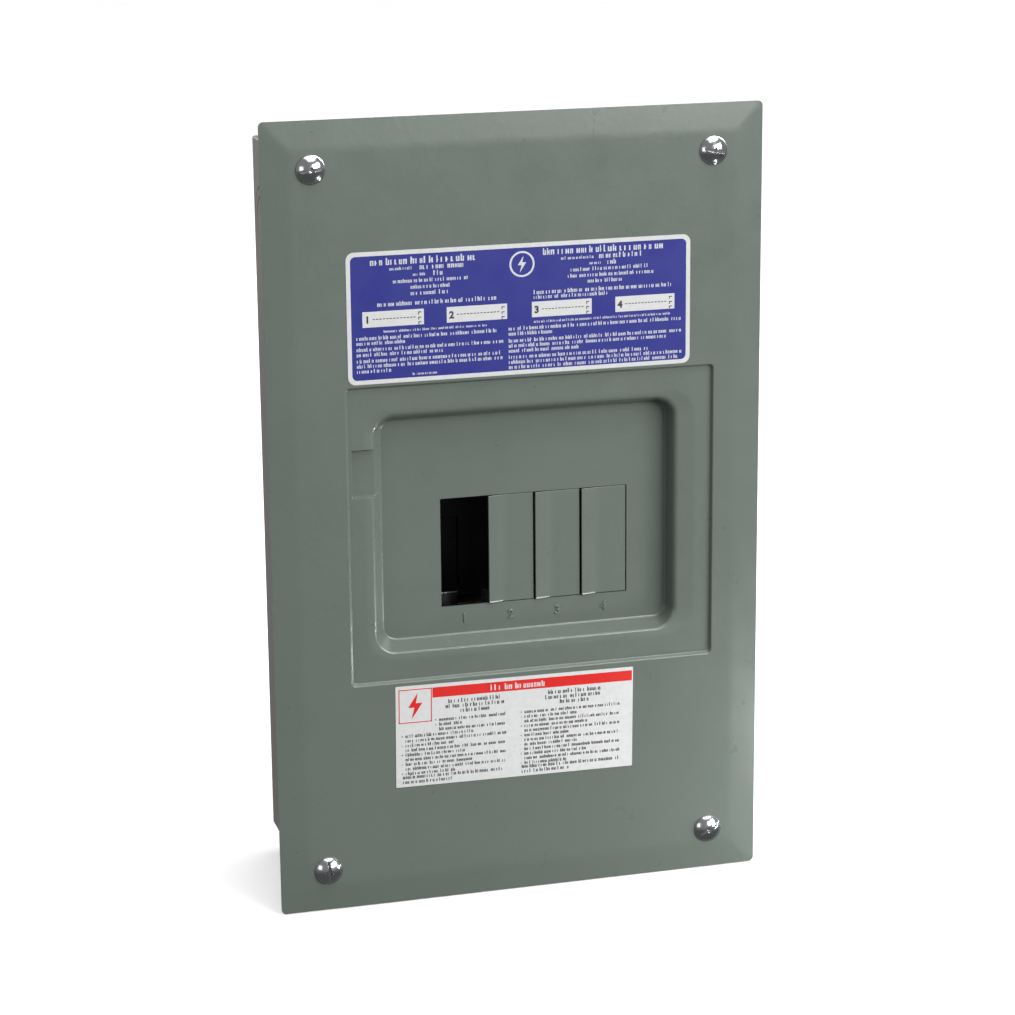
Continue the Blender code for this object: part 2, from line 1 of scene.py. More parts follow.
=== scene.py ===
"""Looks of the residential load center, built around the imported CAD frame. Metres, front faces -Y."""

import math
import random

import bmesh
import bpy
from mathutils import Matrix, Vector


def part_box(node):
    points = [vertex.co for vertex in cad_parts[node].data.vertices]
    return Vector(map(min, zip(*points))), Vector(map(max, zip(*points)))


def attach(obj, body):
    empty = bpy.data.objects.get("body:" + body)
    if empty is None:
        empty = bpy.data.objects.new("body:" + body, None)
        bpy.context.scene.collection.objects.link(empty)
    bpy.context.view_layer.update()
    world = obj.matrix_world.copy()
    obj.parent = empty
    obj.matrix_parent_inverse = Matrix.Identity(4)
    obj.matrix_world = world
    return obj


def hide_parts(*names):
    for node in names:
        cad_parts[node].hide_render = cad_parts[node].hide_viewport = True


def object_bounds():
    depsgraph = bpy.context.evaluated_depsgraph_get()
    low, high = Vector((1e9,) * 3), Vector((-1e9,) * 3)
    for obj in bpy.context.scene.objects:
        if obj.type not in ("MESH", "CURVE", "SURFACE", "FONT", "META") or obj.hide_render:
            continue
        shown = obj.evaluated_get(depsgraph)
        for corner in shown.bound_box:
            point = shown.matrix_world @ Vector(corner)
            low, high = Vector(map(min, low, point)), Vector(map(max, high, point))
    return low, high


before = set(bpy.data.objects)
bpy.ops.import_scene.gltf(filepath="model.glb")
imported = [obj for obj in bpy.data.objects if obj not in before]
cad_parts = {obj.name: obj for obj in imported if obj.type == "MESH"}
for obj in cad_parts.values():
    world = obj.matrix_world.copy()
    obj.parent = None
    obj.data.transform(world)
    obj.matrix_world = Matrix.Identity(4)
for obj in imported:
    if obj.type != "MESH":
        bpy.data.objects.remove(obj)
cad_low, cad_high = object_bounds()
MM = 0.001

# ---------------------------------------------------------------- places from the frame

cover_low, cover_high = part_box("cover")
box_low, box_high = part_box("box")
COVER_W, COVER_H = cover_high.x - cover_low.x, cover_high.z - cover_low.z
COVER_Z = (cover_high.z + cover_low.z) / 2
FACE_Y = cover_low.y
COVER_T, RIM_W, RIM_DROP = 1.2 * MM, 14.5 * MM, 1.2 * MM

# Pressed shapes of the cover, from its middle: left, right, bottom, top
REBATE = (-90.1 * MM, 104.5 * MM, -85.2 * MM, 71.2 * MM)
REBATE_RUN, REBATE_DEPTH = 0.9 * MM, 2.0 * MM
DISH_EDGE = (-80.6 * MM, 95.0 * MM, -73.2 * MM, 59.0 * MM)
DISH_KNEE = (-76.2 * MM, 84.3 * MM, -69.6 * MM, 55.0 * MM)
KNEE_DEPTH = (2.5 * MM, 3.2 * MM, 2.35 * MM, 2.1 * MM)
KNEE_FILLET = (3.2 * MM, 3.4 * MM, 1.5 * MM, 3.6 * MM)
DISH_FOOT = (-70.2 * MM, 83.0 * MM, -65.8 * MM, 50.9 * MM)
FLOOR_Y = FACE_Y + 13.0 * MM
FLOOR_DEPTH = FLOOR_Y - FACE_Y
NOTCH_X, NOTCH_Z0, NOTCH_Z1, NOTCH_DEPTH = -87.2 * MM, 14.2 * MM, 38.5 * MM, 2.7 * MM

# Cover screws: the hole in the cover, the shank, and the slot's length, width and depth
SCREW_HOLE_R, SHANK_R = 2.7 * MM, 2.0 * MM
SLOT_LENGTH, SLOT_WIDTH, SLOT_DEPTH = 11.6 * MM, 1.5 * MM, 1.7 * MM

# Sheet, side lips and wall-screw keyholes of the box
BOX_T, SIDE_LIP = 1.5 * MM, 5 * MM
HANG_X, HANG_Z, HANG_R = 85 * MM, (-155 * MM, 105 * MM), 3.2 * MM
KEY_R, KEY_RISE = 1.8 * MM, 5.0 * MM

SPACES, SPACE_PITCH = 4, 25.15 * MM
OPEN_X0, OPEN_Z0, OPEN_H = -39.0 * MM, COVER_Z - 50.6 * MM, 57.9 * MM


def space_x(number):
    """Middle of breaker space 1 to 4."""
    return OPEN_X0 + SPACE_PITCH * (number - 0.5)


# ---------------------------------------------------------------- mesh helpers


def add_object(name, data):
    obj = bpy.data.objects.new(name, data)
    bpy.context.scene.collection.objects.link(obj)
    return obj


def from_bmesh(name, made):
    mesh = bpy.data.meshes.new(name)
    made.to_mesh(mesh)
    made.free()
    return add_object(name, mesh)


def block(name, low, high):
    """A box between two opposite corners, as raw material for further work."""
    made = bmesh.new()
    bmesh.ops.create_cube(made, size=1.0)
    for vert in made.verts:
        for axis in range(3):
            middle = (low[axis] + high[axis]) / 2
            vert.co[axis] = middle + vert.co[axis] * abs(high[axis] - low[axis])
    return from_bmesh(name, made)


TURNS = {
    "X": Matrix.Rotation(math.pi / 2, 4, "Y"),
    "Y": Matrix.Rotation(math.pi / 2, 4, "X"),
    "Z": Matrix.Identity(4),
}


def rod(name, centre, axis, radius, length, sides=48, tip=None):
    """A cylinder, or a cone if tip is given, along X, Y or Z. Along Y the tip is at the front."""
    made = bmesh.new()
    bmesh.ops.create_cone(
        made,
        cap_ends=True,
        segments=sides,
        radius1=radius,
        radius2=radius if tip is None else tip,
        depth=length,
        matrix=Matrix.Translation(centre) @ TURNS[axis],
    )
    return from_bmesh(name, made)


def turned(name, profile, centre, sides=48):
    """Turns (radius, height) points, front end first, about an axis that points to the front."""
    made = bmesh.new()
    rings = []
    for radius, height in profile:
        count = 1 if radius == 0 else sides
        rings.append(
            [
                made.verts.new(
                    (
                        centre[0] + radius * math.cos(2 * math.pi * i / sides),
                        centre[1] - height,
                        centre[2] + radius * math.sin(2 * math.pi * i / sides),
                    )
                )
                for i in range(count)
            ]
        )
    for outer, inner in zip(rings, rings[1:]):
        for i in range(sides):
            j = (i + 1) % sides
            corners = [outer[i % len(outer)], outer[j % len(outer)]]
            corners += [inner[j % len(inner)], inner[i % len(inner)]]
            made.faces.new(list(dict.fromkeys(corners)))
    bmesh.ops.recalc_face_normals(made, faces=made.faces)
    return from_bmesh(name, made)


def evaluated(obj):
    """Applies the object's modifiers to its mesh."""
    bpy.context.view_layer.update()
    graph = bpy.context.evaluated_depsgraph_get()
    mesh = bpy.data.meshes.new_from_object(obj.evaluated_get(graph))
    obj.modifiers.clear()
    obj.data = mesh
    return obj


def combine(obj, others, operation):
    """Cuts or joins the others, which are then removed."""
    for other in others:
        modifier = obj.modifiers.new("combine", "BOOLEAN")
        modifier.operation, modifier.object, modifier.solver = operation, other, "EXACT"
    evaluated(obj)
    for other in others:
        bpy.data.objects.remove(other, do_unlink=True)
    return obj


def cut(obj, *others):
    return combine(obj, others, "DIFFERENCE")


def join(obj, *others):
    return combine(obj, others, "UNION")


def rounded(obj, width, segments=2, angle=40):
    """Rounds the sharp edges and shades the piece smooth."""
    made = bmesh.new()
    made.from_mesh(obj.data)
    bmesh.ops.remove_doubles(made, verts=made.verts, dist=1e-6)
    bmesh.ops.dissolve_limit(
        made, angle_limit=math.radians(0.5), verts=made.verts, edges=made.edges
    )
    made.to_mesh(obj.data)
    made.free()
    bevel = obj.modifiers.new("round", "BEVEL")
    bevel.width, bevel.segments = width, segments
    bevel.limit_method, bevel.angle_limit = "ANGLE", math.radians(angle)
    bevel.harden_normals = False
    evaluated(obj)
    shade(obj)
    return obj


def shade(obj, angle=38):
    obj.data.shade_smooth()
    obj.data.set_sharp_from_angle(angle=math.radians(angle))
    weighted = obj.modifiers.new("normals", "WEIGHTED_NORMAL")
    weighted.keep_sharp = True
    return evaluated(obj)


def numeral(name, number, size, place, material, slot, **settings):
    """A number as text that faces the front and moves with the cover."""
    text = bpy.data.curves.new(name, "FONT")
    text.body, text.size = str(number), size
    text.align_x, text.align_y = "CENTER", "CENTER"
    for key, value in settings.items():
        setattr(text, key, value)
    obj = add_object(name, text)
    obj.rotation_euler = (math.pi / 2, 0, 0)
    obj.location = place
    bpy.context.view_layer.update()
    obj.data.materials.append(material)
    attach(obj, "cover_body")


def piece(obj, body, slot, material, *nodes):
    """Dresses a finished piece, ties it to its body and hides the CAD nodes it stands for. The slot is
    not used.
    """
    obj.data.materials.clear()
    obj.data.materials.append(material)
    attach(obj, body)
    if nodes:
        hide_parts(*nodes)
    return obj


# ---------------------------------------------------------------- materials


class Nodes:
    """A new material and short calls to wire its nodes."""

    def __init__(self, name, **values):
        self.material = bpy.data.materials.new(name)
        self.material.use_nodes = True
        self.tree = self.material.node_tree
        self.shader = self.tree.nodes["Principled BSDF"]
        for key, value in values.items():
            self.shader.inputs[key.replace("_", " ")].default_value = value
        self.place = self.tree.nodes.new("ShaderNodeTexCoord").outputs["Object"]

    def add(self, kind, **settings):
        node = self.tree.nodes.new(kind)
        for key, value in settings.items():
            setattr(node, key, value)
        return node

    def link(self, output, target):
        self.tree.links.new(output, target)

    def noise(self, scale, detail=2.0, stretch=(1.0, 1.0, 1.0)):
        mapping = self.add("ShaderNodeMapping")
        mapping.inputs["Scale"].default_value = stretch
        self.link(self.place, mapping.inputs["Vector"])
        node = self.add("ShaderNodeTexNoise")
        node.inputs["Scale"].default_value = scale
        node.inputs["Detail"].default_value = detail
        self.link(mapping.outputs["Vector"], node.inputs["Vector"])
        return node.outputs["Fac"]

    def cells(self, scale):
        node = self.add("ShaderNodeTexVoronoi")
        node.inputs["Scale"].default_value = scale
        self.link(self.place, node.inputs["Vector"])
        return node

    def ramp(self, value, low, high, start=0.0, end=1.0):
        """Maps value from low..high to start..end, clamped."""
        node = self.add("ShaderNodeMapRange")
        for key, number in (
            ("From Min", low),
            ("From Max", high),
            ("To Min", start),
            ("To Max", end),
        ):
            node.inputs[key].default_value = number
        self.link(value, node.inputs["Value"])
        return node.outputs["Result"]

    def mix(self, factor, first, second):
        """Mixes two colours, each a tuple or an output."""
        node = self.add("ShaderNodeMix", data_type="RGBA")
        self.link(factor, node.inputs["Factor"])
        for socket, value in ((node.inputs[6], first), (node.inputs[7], second)):
            if isinstance(value, tuple):
                socket.default_value = (*value, 1.0)
            else:
                self.link(value, socket)
        return node.outputs[2]

    def bump(self, height, strength, distance, below=None):
        node = self.add("ShaderNodeBump")
        node.inputs["Strength"].default_value = strength
        node.inputs["Distance"].default_value = distance
        self.link(height, node.inputs["Height"])
        if below is not None:
            self.link(below, node.inputs["Normal"])
        return node.outputs["Normal"]

    def colour(self, output):
        self.link(output, self.shader.inputs["Base Color"])

    def roughness(self, output):
        self.link(output, self.shader.inputs["Roughness"])

    def normal(self, output):
        self.link(output, self.shader.inputs["Normal"])


def tint(colour, factor):
    return tuple(channel * factor for channel in colour)


def enamel(name, colour, roughness=0.31, peel=0.16, coat=0.35):
    """Baked enamel: broad shade drift, fine mottling and orange peel."""
    made = Nodes(name, Roughness=roughness, Coat_Weight=coat, Coat_Roughness=0.12)
    drift = made.ramp(made.noise(9.0, 3.0), 0.35, 0.65)
    mottle = made.ramp(made.noise(260.0, 2.0), 0.35, 0.65)
    base = made.mix(drift, tint(colour, 0.965), tint(colour, 1.035))
    shaded = made.mix(mottle, base, tint(colour, 1.06))
    half = made.add("ShaderNodeMix", data_type="RGBA")
    half.inputs["Factor"].default_value = 0.35
    made.link(base, half.inputs[6])
    made.link(shaded, half.inputs[7])
    made.colour(half.outputs[2])
    made.roughness(made.ramp(made.noise(60.0, 2.0), 0.3, 0.7, roughness - 0.04, roughness + 0.05))
    grain = made.bump(made.noise(900.0, 2.0), peel, 0.15 * MM)
    made.normal(made.bump(made.noise(230.0, 1.0), peel * 0.8, 0.4 * MM, grain))
    return made.material


def plated(name, colour, roughness, grain=(1.0, 1.0, 1.0), scratch=0.05):
    """Bright plated or bare metal with faint handling marks."""
    made = Nodes(name, Metallic=1.0, Roughness=roughness)
    cloud = made.ramp(made.noise(70.0, 3.0), 0.3, 0.7)
    made.colour(made.mix(cloud, tint(colour, 0.93), tint(colour, 1.05)))
    made.roughness(
        made.ramp(made.noise(380.0, 3.0, grain), 0.3, 0.7, roughness * 0.75, roughness * 1.35)
    )
    made.normal(made.bump(made.noise(650.0, 3.0, grain), scratch, 0.1 * MM))
    return made.material


def spangled(name, colour, roughness=0.38):
    """Hot-dip galvanised sheet with its crystal pattern."""
    made = Nodes(name, Metallic=1.0, Roughness=roughness)
    crystals = made.cells(150.0)
    shade_of = made.add("ShaderNodeSeparateColor")
    made.link(crystals.outputs["Color"], shade_of.inputs["Color"])
    tone = shade_of.outputs[0]
    made.colour(made.mix(tone, tint(colour, 0.80), tint(colour, 1.12)))
    made.roughness(made.ramp(tone, 0.0, 1.0, roughness - 0.10, roughness + 0.10))
    made.normal(made.bump(made.noise(500.0, 3.0), 0.06, 0.1 * MM))
    return made.material


def moulded(name, colour, roughness=0.45):
    """Moulded plastic with a fine sparked texture."""
    made = Nodes(name, Roughness=roughness)
    made.colour(
        made.mix(made.ramp(made.noise(45.0), 0.3, 0.7), tint(colour, 0.9), tint(colour, 1.15))
    )
    made.roughness(made.ramp(made.noise(200.0), 0.3, 0.7, roughness - 0.06, roughness + 0.08))
    made.normal(made.bump(made.noise(1100.0, 2.0), 0.25, 0.1 * MM))
    return made.material


def printed(name, colour, roughness=0.42):
    """Printed label film or ink: nearly even, with slight mottling and soft waviness."""
    made = Nodes(name, Roughness=roughness)
    made.colour(
        made.mix(made.ramp(made.noise(420.0, 2.0), 0.3, 0.7), tint(colour, 0.96), tint(colour, 1.03))
    )
    made.roughness(made.ramp(made.noise(90.0), 0.3, 0.7, roughness - 0.05, roughness + 0.06))
    made.normal(made.bump(made.noise(55.0, 1.0), 0.05, 0.5 * MM))
    return made.material


COVER_COLOUR = (0.117, 0.142, 0.123)
PAINT = enamel("cover_enamel", COVER_COLOUR)
BOX_PAINT = enamel("box_enamel", (0.165, 0.155, 0.148), 0.52, 0.14, 0.05)
ZINC = plated("bright_zinc", (0.58, 0.60, 0.61), 0.17)
GALVANISED = spangled("galvanised_sheet", (0.50, 0.52, 0.53))
TINNED = plated("tinned_aluminium", (0.70, 0.71, 0.72), 0.32, (1.0, 6.0, 1.0), 0.10)
COPPER = plated("dull_copper", (0.62, 0.31, 0.18), 0.36, (6.0, 1.0, 1.0), 0.08)
BLACK = moulded("black_moulding", (0.018, 0.018, 0.020))
GREEN = plated("green_plate", (0.05, 0.30, 0.10), 0.30)
BLUE_INK = printed("blue_film", (0.0165, 0.022, 0.208))
WHITE_FILM = printed("white_film", (0.585, 0.59, 0.59))
WHITE_INK = printed("white_ink", (0.55, 0.565, 0.61))
BLACK_INK = printed("black_ink", (0.03, 0.03, 0.035))
RED_INK = printed("red_ink", (0.60, 0.015, 0.012))


# ---------------------------------------------------------------- pressed cover


def fillet_path(points, radii, steps=6):
    """Rounds a run of (inset, depth) points with arcs. Gives (parameter, inset, depth) rows."""
    rows = [(0.0, *points[0])]
    for i in range(1, len(points) - 1):
        here = Vector(points[i])
        before, after = Vector(points[i - 1]) - here, Vector(points[i + 1]) - here
        turn = math.pi - before.angle(after)
        reach = radii[i] * math.tan(turn / 2)
        start = here + before.normalized() * reach
        end = here + after.normalized() * reach
        for k in range(steps + 1):
            t = k / steps
            spot = start * (1 - t) ** 2 + here * 2 * t * (1 - t) + end * t * t
            along = i - (1 - t) * reach / before.length + t * reach / after.length
            rows.append((along, spot.x, spot.y))
    rows.append((len(points) - 1.0, *points[-1]))
    return rows


def cover_sides():
    """Each side's edge, inward sign, (inset, depth) points and fillets: left, right, bottom, top."""
    edges = (-COVER_W / 2, COVER_W / 2, -COVER_H / 2, COVER_H / 2)
    found = []
    for i, edge in enumerate(edges):
        inward = 1 if i % 2 == 0 else -1
        rebate = (REBATE[i] - edge) * inward
        found.append(
            (
                edge,
                inward,
                [
                    (0.0, RIM_DROP),
                    (RIM_W, 0.0),
                    (rebate, 0.0),
                    (rebate + REBATE_RUN, REBATE_DEPTH),
                    ((DISH_EDGE[i] - edge) * inward, REBATE_DEPTH),
                    ((DISH_KNEE[i] - edge) * inward, KNEE_DEPTH[i]),
                    ((DISH_FOOT[i] - edge) * inward, FLOOR_DEPTH),
                    ((DISH_FOOT[i] - edge) * inward + 8 * MM, FLOOR_DEPTH),
                ],
                (0.0, 55 * MM, 0.8 * MM, 0.6 * MM, 20 * MM, KNEE_FILLET[i], 1.4 * MM, 0.0),
            )
        )
    return found


CORNER_RADII = (2.5 * MM, 2 * MM, 2.2 * MM, 1.9 * MM, 14 * MM, 11 * MM, 7 * MM, 1 * MM)
CORNER_STEPS = 12


def corner_radius(along):
    low = min(int(along), len(CORNER_RADII) - 2)
    share = along - low
    return CORNER_RADII[low] * (1 - share) + CORNER_RADII[low + 1] * share


def notch_depth(x, z, depth):
    """Depth inside the latch notch: a small tray with soft walls, open towards the dish."""
    soft = 0.6 * MM

    def step(value):
        t = min(max(value / soft + 0.5, 0.0), 1.0)
        return t * t * (3 - 2 * t)

    inside = step(x - NOTCH_X) * step(z - NOTCH_Z0) * step(NOTCH_Z1 - z)
    return max(depth, REBATE_DEPTH + NOTCH_DEPTH * inside) if inside > 0 else depth


def with_rows_between(rows, start, end, count):
    """Adds evenly spaced rows on the flat stretch between two rows' parameters."""
    before = [row for row in rows if row[0] <= start]
    after = [row for row in rows if row[0] >= end]
    low, high = max(before), min(after)
    added = [
        tuple(a + (b - a) * k / (count + 1) for a, b in zip(low, high))
        for k in range(1, count + 1)
    ]
    return before + added + after


def left_side_heights():
    """Extra points down the left side, close together at the notch's two ends."""
    offsets = [k * 0.1 * MM for k in range(-4, 5)]
    ends = [NOTCH_Z1 + o for o in reversed(offsets)] + [NOTCH_Z0 + o for o in reversed(offsets)]
    return sorted(ends, reverse=True)


def cover_surface():
    """The pressed front surface as rings of quads from the outer edge to the dish floor."""
    sides = cover_sides()
    paths = []
    for _, _, points, fillets in sides:
        rows = fillet_path(points, fillets)
        flat = [row for row in rows if 3.0 < row[0] < 4.0]
        low = max(row[0] for row in flat if row[0] < 3.5)
        high = min(row[0] for row in flat if row[0] > 3.5)
        paths.append(with_rows_between(rows, low, high, 22))
    rings = []
    made = bmesh.new()
    for rows in zip(*paths):
        place = [side[0] + side[1] * row[1] for side, row in zip(sides, rows)]
        left, right, bottom, top = place
        deep_left, deep_right, deep_bottom, deep_top = (row[2] for row in rows)
        radius = corner_radius(sum(row[0] for row in rows) / 4)
        ring = []
        for cx, cz, start, deep_x, deep_z in (
            (right - radius, top - radius, 0, deep_right, deep_top),
            (left + radius, top - radius, 90, deep_left, deep_top),
            (left + radius, bottom + radius, 180, deep_left, deep_bottom),
            (right - radius, bottom + radius, 270, deep_right, deep_bottom),
        ):
            for step in range(CORNER_STEPS + 1):
                angle = math.radians(start + 90 * step / CORNER_STEPS)
                blend = math.cos(angle) ** 2
                x, z = cx + radius * math.cos(angle), cz + radius * math.sin(angle)
                depth = deep_x * blend + deep_z * (1 - blend)
                ring.append((x, z, depth))
            if start == 90:
                for z in left_side_heights():
                    ring.append((left, z, notch_depth(left, z, deep_left)))
        rings.append([made.verts.new((x, FACE_Y + depth, z + COVER_Z)) for x, z, depth in ring])
    for outer, inner in zip(rings, rings[1:]):
        count = len(outer)
        for i in range(count):
            j = (i + 1) % count
            made.faces.new((outer[i], inner[i], inner[j], outer[j]))
    made.faces.new(list(reversed(rings[-1])))
    bmesh.ops.recalc_face_normals(made, faces=made.faces)
    if sum(face.normal.y * face.calc_area() for face in made.faces) > 0:
        bmesh.ops.reverse_faces(made, faces=made.faces)
    return from_bmesh("cover_sheet", made)


def screw_places():
    """Name, x and z of each cover screw, from the CAD screws, and its slot's angle."""
    angles = {
        "cover_screw_top_left": 7,
        "cover_screw_top_right": -12,
        "cover_screw_bottom_left": -88,
        "cover_screw_bottom_right": 28,
    }
    found = []
    for name, angle in angles.items():
        low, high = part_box(name)
        found.append((name, (low.x + high.x) / 2, (low.z + high.z) / 2, angle))
    return found


def make_cover():
    sheet = cover_surface()
    solid = sheet.modifiers.new("sheet", "SOLIDIFY")
    solid.thickness, solid.offset = COVER_T, -1.0
    solid.use_even_offset = True
    evaluated(sheet)
    cutters = [
        block(
            "cut",
            (OPEN_X0, FLOOR_Y - 10 * MM, OPEN_Z0),
            (OPEN_X0 + SPACES * SPACE_PITCH, FLOOR_Y + 10 * MM, OPEN_Z0 + OPEN_H),
        )
    ]
    for _, x, z, _ in screw_places():
        cutters.append(rod("cut", (x, FACE_Y, z), "Y", SCREW_HOLE_R, 10 * MM))
    cut(sheet, *cutters)
    bevel = sheet.modifiers.new("round", "BEVEL")
    bevel.width, bevel.segments = 0.22 * MM, 2
    bevel.limit_method, bevel.angle_limit = "ANGLE", math.radians(60)
    evaluated(sheet)
    shade(sheet, 50)
    piece(sheet, "cover_body", "cover_paint", PAINT, "cover")


def make_space_numbers():
    """Raised numbers 1 to 4 under the breaker spaces."""
    raised = {"extrude": 0.15 * MM, "bevel_depth": 0.22 * MM, "bevel_resolution": 2}
    for number in range(1, SPACES + 1):
        place = (space_x(number) - 0.4 * MM, FLOOR_Y - 0.15 * MM, COVER_Z - 57.6 * MM)
        name = f"space_number_{number}"
        numeral(name, number, 6.4 * MM, place, PAINT, "cover_paint", offset=0.02 * MM, **raised)


def make_twistout(number):
    """A blanking plate folded along its left side, with soft folds and sheared edges."""
    low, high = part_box(f"twistout_{number}")
    rise, fold, right = 1.1 * MM, 9.0 * MM, high.x - 0.2 * MM
    front = high.y - COVER_T
    path = fillet_path(
        [
            (low.x, front - rise),
            (low.x + fold, front),
            (right, front),
        ],
        (0, 30 * MM, 0),
        8,
    )
    made = bmesh.new()
    curl, curl_top = 0.6 * MM, 1.1 * MM
    heights = [low.z, low.z + 0.35 * MM, low.z + 0.7 * MM, low.z + curl_top]
    heights += [low.z + (high.z - low.z) * k / 5 for k in range(1, 6)]
    grid = []
    for z in heights:
        lift = max(0.0, 1 - (z - low.z) / curl_top) ** 2 * curl
        grid.append(
            [
                made.verts.new((x, y - lift * max(0.0, 1 - (x - low.x) / fold), z))
                for _, x, y in path
            ]
        )
    for row, above in zip(grid, grid[1:]):
        for i in range(len(row) - 1):
            made.faces.new((row[i], row[i + 1], above[i + 1], above[i]))
    plate = from_bmesh(f"twistout_plate_{number}", made)
    solid = plate.modifiers.new("sheet", "SOLIDIFY")
    solid.thickness, solid.offset = COVER_T, -1.0
    evaluated(plate)
    bevel = plate.modifiers.new("round", "BEVEL")
    bevel.width, bevel.segments = 0.22 * MM, 2
    bevel.limit_method, bevel.angle_limit = "ANGLE", math.radians(50)
    evaluated(plate)
    shade(plate)
    piece(plate, f"twistout_{number}", "cover_paint", PAINT, f"twistout_{number}")


# ---------------------------------------------------------------- screws


def dome(radius, height, edge, steps=10):
    """Profile of a truss head, from its crown over a thin flange to the foot of its edge."""
    flange = 0.06 * radius
    outer, radius = radius, radius - flange
    cap = height - edge
    ball = (radius**2 + cap**2) / (2 * cap)
    reach = math.asin(radius / ball)
    points = [
        (ball * math.sin(reach * k / steps), height - ball * (1 - math.cos(reach * k / steps)))
        for k in range(steps + 1)
    ]
    points += [(radius + 0.1 * flange, edge * 0.72), (outer - 0.2 * flange, edge * 0.70)]
    return points + [(outer, edge * 0.45), (outer - 0.2 * flange, 0.0)]


def turn_about(obj, centre, angle):
    """Turns a mesh about the front-facing axis through a point."""
    spot = Vector(centre)
    turn = Matrix.Translation(spot) @ Matrix.Rotation(-math.radians(angle), 4, "Y")
    obj.data.transform(turn @ Matrix.Translation(-spot))
    return obj


def slot_cutter(centre, length, width, top, depth):
    """A slot with round ends, cut from the front down to depth below top."""
    x, y, z = centre
    half = length / 2 - width / 2
    body = block(
        "cut",
        (x - half, y - top - MM, z - width / 2),
        (x + half, y - top + depth, z + width / 2),
    )
    ends = [
        rod("cut", (x + side * half, y - top + (depth - MM) / 2, z), "Y", width / 2, depth + MM, 24)
        for side in (-1, 1)
    ]
    return join(body, *ends)


def make_cover_screws():
    """Large domed combination-drive screws."""
    for name, x, z, angle in screw_places():
        low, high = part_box(name)
        seat = FACE_Y - 0.05 * MM
        top = seat - low.y
        radius = (high.x - low.x) / 2
        centre = (x, seat, z)
        profile = dome(radius - 0.05 * MM, top, 0.8 * MM)
        tip = seat - high.y
        profile += [(SHANK_R, 0.0), (SHANK_R, tip + 0.8 * MM), (1.2 * MM, tip), (0.0, tip)]
        screw = turned(name.replace("screw", "screw_head"), profile, centre, 72)
        slot = slot_cutter(centre, SLOT_LENGTH, SLOT_WIDTH, top, SLOT_DEPTH)
        cross = rod("cut", (x, seat - top + 0.4 * MM, z), "Y", 0.9 * MM, 3.6 * MM, 4, 2.9 * MM)
        cut(screw, slot, cross)
        rounded(screw, 0.2 * MM, 2, 32)
        turn_about(screw, centre, angle)
        piece(screw, name, "zinc", ZINC, name)


def make_small_screw(node, body, material=None, slot="zinc", square=False):
    """A pan-head screw with a cross slot in place of a plain CAD screw."""
    low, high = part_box(node)
    x, z = (low.x + high.x) / 2, (low.z + high.z) / 2
    radius = (high.x - low.x) / 2
    head = min(radius * 0.70, (high.y - low.y) * 0.42)
    seat = low.y + head
    centre = (x, seat, z)
    shank = 0.52 * radius
    profile = dome(radius - 0.03 * MM, head, head * 0.45, 6)
    profile += [(shank, 0.0), (shank, seat - high.y), (0.0, seat - high.y)]
    screw = turned(f"{node}_part", profile, centre, 32)
    cuts = [slot_cutter(centre, radius * 2.3, radius * 0.24, head, head * 0.5)]
    if square:
        cuts.append(rod("cut", (x, low.y, z), "Y", radius * 0.28, head, 4, radius * 0.45))
    cut(screw, *cuts)
    rounded(screw, 0.10 * MM, 1, 35)
    piece(screw, body, slot, material or ZINC, node)


# ---------------------------------------------------------------- labels

LABEL_BACK = FACE_Y - 0.02 * MM
FILM = 0.16 * MM
INK = 0.025 * MM


def rounded_outline(x0, x1, z0, z1, radius, steps=8):
    points = []
    for cx, cz, start in (
        (x1 - radius, z1 - radius, 0),
        (x0 + radius, z1 - radius, 90),
        (x0 + radius, z0 + radius, 180),
        (x1 - radius, z0 + radius, 270),
    ):
        for step in range(steps + 1):
            angle = math.radians(start + 90 * step / steps)
            points.append((cx + radius * math.cos(angle), cz + radius * math.sin(angle)))
    return points


def slab(name, outlines, front, thickness):
    """Flat shapes that face the front, each an outline of (x, z) points, as one thin mesh."""
    made = bmesh.new()
    for points in outlines:
        face = made.faces.new([made.verts.new((x, front, z)) for x, z in points])
        if face.normal.length == 0:
            face.normal_update()
        if face.normal.y > 0:
            face.normal_flip()
        grown = bmesh.ops.extrude_face_region(made, geom=[face])
        moved = [v for v in grown["geom"] if isinstance(v, bmesh.types.BMVert)]
        for vert in moved:
            vert.co.y += thickness
    bmesh.ops.recalc_face_normals(made, faces=made.faces)
    return from_bmesh(name, made)


def bar(x0, x1, z, height):
    return [(x1, z + height / 2), (x0, z + height / 2), (x0, z - height / 2), (x1, z - height / 2)]


def area(x0, x1, z0, z1):
    """A rectangle given in millimetres from the cover's middle."""
    low, high = z0 * MM + COVER_Z, z1 * MM + COVER_Z
    return [(x1 * MM, high), (x0 * MM, high), (x0 * MM, low), (x1 * MM, low)]


def words(rng, x0, x1, z, height, weight=0.78):
    """Small upright strokes in word-like groups between x0 and x1: a line of print with no letters."""
    found = []
    x = x0
    while x < x1 - height * 0.4:
        for _ in range(rng.randint(2, 8)):
            width = height * rng.uniform(0.38, 0.62)
            if x + width > x1:
                break
            tall = height * rng.choice((0.72, 0.72, 0.72, 1.0))
            bottom = z - height / 2
            stroke = width * weight * 0.5
            kind = rng.random()
            found.append(bar(x, x + stroke, bottom + tall / 2, tall))
            if kind < 0.55:
                found.append(bar(x + width - stroke, x + width, bottom + 0.36 * height, 0.72 * height))
            if kind < 0.75:
                level = rng.choice((0.09, 0.36, 0.63)) * height
                found.append(bar(x + stroke, x + width - stroke, bottom + level, 0.15 * height))
            x += width + height * 0.16
        x += height * 0.36
    return found


